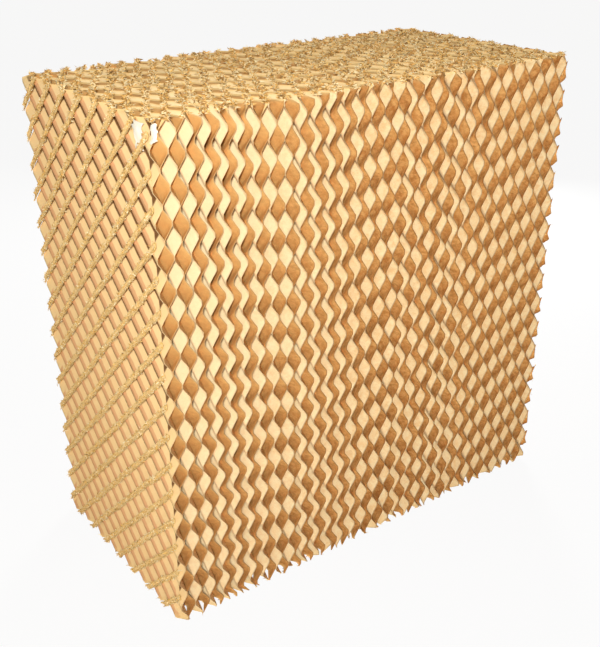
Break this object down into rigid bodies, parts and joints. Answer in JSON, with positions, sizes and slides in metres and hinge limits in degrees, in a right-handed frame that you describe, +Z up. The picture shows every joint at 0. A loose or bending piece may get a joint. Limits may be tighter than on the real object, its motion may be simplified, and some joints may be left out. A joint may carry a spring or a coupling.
{
  "type": "evaporative cooling pad",
  "caption": "Block of corrugated kraft paper sheets on edge, flutes crossed and glued at the crests, sawn square; water wets it and air passes through it.",
  "frame": {"origin": "middle of the bottom of the pad, on the floor it stands on", "axes": "+X along the front across the sheets, +Y from the front to the back along the air's way, +Z up"},
  "size_m": [0.3092, 0.1526, 0.305],
  "materials": {
    "rising_sheets": "matte kraft paper",
    "falling_sheets": "matte kraft paper",
    "end_strips": "sawn fuzzy kraft paper"
  },
  "bodies": {
    "root": {"rising_sheets_left": "rising_sheets", "rising_sheets_right": "rising_sheets", "falling_sheets_left": "falling_sheets", "falling_sheets_right": "falling_sheets", "left_end_strips": "end_strips", "right_end_strips": "end_strips"}
  },
  "joints": []
}
